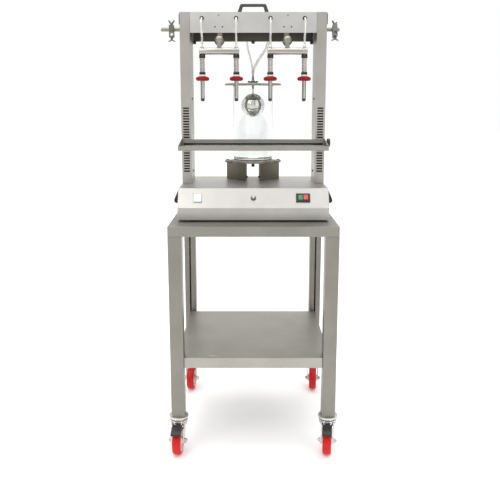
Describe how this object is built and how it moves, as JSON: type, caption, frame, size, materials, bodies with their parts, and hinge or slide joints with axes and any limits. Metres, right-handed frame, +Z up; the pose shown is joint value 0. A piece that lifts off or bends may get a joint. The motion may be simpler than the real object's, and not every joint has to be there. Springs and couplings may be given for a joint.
{
  "type": "vacuum bottle filler on trolley",
  "caption": "Bench vacuum bottle filler with nozzle bars, adjustable bottle shelf and overflow jar, on a castored steel trolley.",
  "frame": {"origin": "middle of the bounding box's bottom, on the floor", "axes": "+Z up, -Y towards the operator, +X to the operator's right"},
  "size_m": [0.684, 0.6756, 1.6453],
  "materials": {
    "stainless": "satin brushed stainless sheet",
    "dark_steel": "darker satin steel brackets and castings",
    "polished_steel": "polished stainless and chrome",
    "black_plastic": "moulded black plastic",
    "red_silicone": "glossy red silicone",
    "red_tread": "red polyurethane tread",
    "green_button": "translucent green plastic",
    "red_button": "translucent red plastic",
    "white_plastic": "white plastic",
    "clear_hose": "translucent silicone hose",
    "glass": "clear borosilicate glass"
  },
  "bodies": {
    "root": {"cart_top": "stainless", "cart_shelf": "stainless", "cart_leg_front_left": "stainless", "cart_leg_front_right": "stainless", "cart_leg_rear_left": "stainless", "cart_leg_rear_right": "stainless", "base_housing": "stainless", "base_pan": "dark_steel", "vacuum_pump": "dark_steel", "side_handle_left": "black_plastic", "side_handle_right": "black_plastic", "switch_body": "black_plastic", "column_left": "stainless", "column_right": "stainless", "crossbeam": "stainless", "carry_handle": "black_plastic", "arm_hub_left": "dark_steel", "arm_hub_right": "dark_steel", "jar": "glass", "jar_ring": "dark_steel", "jar_stand_left": "dark_steel", "jar_stand_right": "dark_steel", "fill_hose_1": "clear_hose", "fill_hose_2": "clear_hose", "fill_hose_3": "clear_hose", "fill_hose_4": "clear_hose", "vacuum_hose": "clear_hose"},
    "caster_front_left": {"caster_fork_front_left": "polished_steel"},
    "wheel_front_left": {"caster_wheel_front_left": "red_tread"},
    "pedal_front_left": {"brake_pedal_front_left": "black_plastic"},
    "caster_front_right": {"caster_fork_front_right": "polished_steel"},
    "wheel_front_right": {"caster_wheel_front_right": "red_tread"},
    "pedal_front_right": {"brake_pedal_front_right": "black_plastic"},
    "caster_rear_left": {"caster_fork_rear_left": "polished_steel"},
    "wheel_rear_left": {"caster_wheel_rear_left": "red_tread"},
    "caster_rear_right": {"caster_fork_rear_right": "polished_steel"},
    "wheel_rear_right": {"caster_wheel_rear_right": "red_tread"},
    "shelf": {"bottle_shelf": "stainless"},
    "shelf_clamp": {"shelf_knob": "black_plastic"},
    "arm_left": {"nozzle_bar_left": "stainless", "nozzle_1": "polished_steel", "nozzle_2": "polished_steel"},
    "seal_1": {"nozzle_seal_1": "red_silicone"},
    "seal_2": {"nozzle_seal_2": "red_silicone"},
    "arm_right": {"nozzle_bar_right": "stainless", "nozzle_3": "polished_steel", "nozzle_4": "polished_steel"},
    "seal_3": {"nozzle_seal_3": "red_silicone"},
    "seal_4": {"nozzle_seal_4": "red_silicone"},
    "lid": {"jar_lid": "stainless"},
    "lid_wing": {"lid_knob": "black_plastic"},
    "float_ball": {"float": "polished_steel"},
    "clamp_left": {"bosshead_left": "dark_steel"},
    "clamp_screw_left": {"wing_screw_left": "dark_steel"},
    "clamp_right": {"bosshead_right": "dark_steel"},
    "clamp_screw_right": {"wing_screw_right": "dark_steel"},
    "rocker": {"rocker_switch": "white_plastic"},
    "start": {"start_button": "green_button"},
    "stop": {"stop_button": "red_button"},
    "dial": {"control_knob": "polished_steel"}
  },
  "joints": [
    {"name": "caster_swivel_front_left", "type": "hinge", "parent": "root", "child": "caster_front_left", "pos_m": [-0.265, -0.24917, 0.12], "axis": [0, 0, 1], "continuous": true},
    {"name": "wheel_spin_front_left", "type": "hinge", "parent": "caster_front_left", "child": "wheel_front_left", "pos_m": [-0.26657, -0.27913, 0.05], "axis": [0.9986, -0.0523, 0], "continuous": true},
    {"name": "brake_pedal_lift_front_left", "type": "hinge", "parent": "caster_front_left", "child": "pedal_front_left", "pos_m": [-0.26688, -0.28512, 0.109], "axis": [-0.9986, 0.0523, 0], "range_deg": [0, 18]},
    {"name": "caster_swivel_front_right", "type": "hinge", "parent": "root", "child": "caster_front_right", "pos_m": [0.287, -0.24917, 0.12], "axis": [0, 0, 1], "continuous": true},
    {"name": "wheel_spin_front_right", "type": "hinge", "parent": "caster_front_right", "child": "wheel_front_right", "pos_m": [0.28282, -0.27888, 0.05], "axis": [0.9903, -0.1392, 0], "continuous": true},
    {"name": "brake_pedal_lift_front_right", "type": "hinge", "parent": "caster_front_right", "child": "pedal_front_right", "pos_m": [0.28199, -0.28482, 0.109], "axis": [-0.9903, 0.1392, 0], "range_deg": [0, 18]},
    {"name": "caster_swivel_rear_left", "type": "hinge", "parent": "root", "child": "caster_rear_left", "pos_m": [-0.265, 0.30283, 0.12], "axis": [0, 0, 1], "continuous": true},
    {"name": "wheel_spin_rear_left", "type": "hinge", "parent": "caster_rear_left", "child": "wheel_rear_left", "pos_m": [-0.26709, 0.2729, 0.05], "axis": [0.9976, -0.0698, 0], "continuous": true},
    {"name": "caster_swivel_rear_right", "type": "hinge", "parent": "root", "child": "caster_rear_right", "pos_m": [0.287, 0.30283, 0.12], "axis": [0, 0, 1], "continuous": true},
    {"name": "wheel_spin_rear_right", "type": "hinge", "parent": "caster_rear_right", "child": "wheel_rear_right", "pos_m": [0.28386, 0.27299, 0.05], "axis": [0.9945, -0.1045, 0], "continuous": true},
    {"name": "shelf_height", "type": "slide", "parent": "root", "child": "shelf", "axis": [0, 0, 1], "range_m": [-0.09, 0.12]},
    {"name": "shelf_knob_turn", "type": "hinge", "parent": "shelf", "child": "shelf_clamp", "pos_m": [0.299, 0.00683, 1.125], "axis": [1, 0, 0], "range_deg": [0, 360]},
    {"name": "arm_tilt_left", "type": "hinge", "parent": "root", "child": "arm_left", "pos_m": [-0.114, -0.02317, 1.501], "axis": [0, 1, 0], "range_deg": [-8, 8], "deforming": ["fill_hose_1", "fill_hose_2"]},
    {"name": "seal_slide_1", "type": "slide", "parent": "arm_left", "child": "seal_1", "axis": [0, 0, 1], "range_m": [0, 0.015], "stiffness_N_per_m": 300, "springref_m": -0.01},
    {"name": "seal_slide_2", "type": "slide", "parent": "arm_left", "child": "seal_2", "axis": [0, 0, 1], "range_m": [0, 0.015], "stiffness_N_per_m": 300, "springref_m": -0.01},
    {"name": "arm_tilt_right", "type": "hinge", "parent": "root", "child": "arm_right", "pos_m": [0.136, -0.02317, 1.501], "axis": [0, 1, 0], "range_deg": [-8, 8], "deforming": ["fill_hose_3", "fill_hose_4"]},
    {"name": "seal_slide_3", "type": "slide", "parent": "arm_right", "child": "seal_3", "axis": [0, 0, 1], "range_m": [0, 0.015], "stiffness_N_per_m": 300, "springref_m": -0.01},
    {"name": "seal_slide_4", "type": "slide", "parent": "arm_right", "child": "seal_4", "axis": [0, 0, 1], "range_m": [0, 0.015], "stiffness_N_per_m": 300, "springref_m": -0.01},
    {"name": "lid_lift", "type": "slide", "parent": "root", "child": "lid", "axis": [0, 0, 1], "range_m": [0, 0.03], "deforming": ["vacuum_hose"]},
    {"name": "lid_knob_turn", "type": "hinge", "parent": "lid", "child": "lid_wing", "pos_m": [0.011, 0.20683, 1.36], "axis": [0, 0, 1], "range_deg": [0, 360]},
    {"name": "float_rise", "type": "slide", "parent": "lid", "child": "float_ball", "axis": [0, 0, 1], "range_m": [0, 0.015]},
    {"name": "clamp_turn_left", "type": "hinge", "parent": "root", "child": "clamp_left", "pos_m": [-0.302, 0.09083, 1.552], "axis": [1, 0, 0], "range_deg": [-90, 90]},
    {"name": "wing_screw_turn_left", "type": "hinge", "parent": "clamp_left", "child": "clamp_screw_left", "pos_m": [-0.302, 0.09083, 1.552], "axis": [0, 0, 1], "range_deg": [0, 360]},
    {"name": "clamp_turn_right", "type": "hinge", "parent": "root", "child": "clamp_right", "pos_m": [0.324, 0.09083, 1.552], "axis": [1, 0, 0], "range_deg": [-90, 90]},
    {"name": "wing_screw_turn_right", "type": "hinge", "parent": "clamp_right", "child": "clamp_screw_right", "pos_m": [0.324, 0.09083, 1.552], "axis": [0, 0.342, 0.9397], "range_deg": [0, 360]},
    {"name": "rocker_press", "type": "slide", "parent": "root", "child": "rocker", "axis": [0, 0.8416, -0.5401], "range_m": [0, 0.0025], "stiffness_N_per_m": 800, "springref_m": -0.001},
    {"name": "start_press", "type": "slide", "parent": "root", "child": "start", "axis": [0, 0.8416, -0.5401], "range_m": [0, 0.0025], "stiffness_N_per_m": 800, "springref_m": -0.001},
    {"name": "stop_press", "type": "slide", "parent": "root", "child": "stop", "axis": [0, 0.8416, -0.5401], "range_m": [0, 0.0025], "stiffness_N_per_m": 800, "springref_m": -0.001},
    {"name": "control_knob_turn", "type": "hinge", "parent": "root", "child": "dial", "pos_m": [0.011, -0.14967, 0.9335], "axis": [0, -0.8416, 0.5401], "range_deg": [0, 270]}
  ]
}
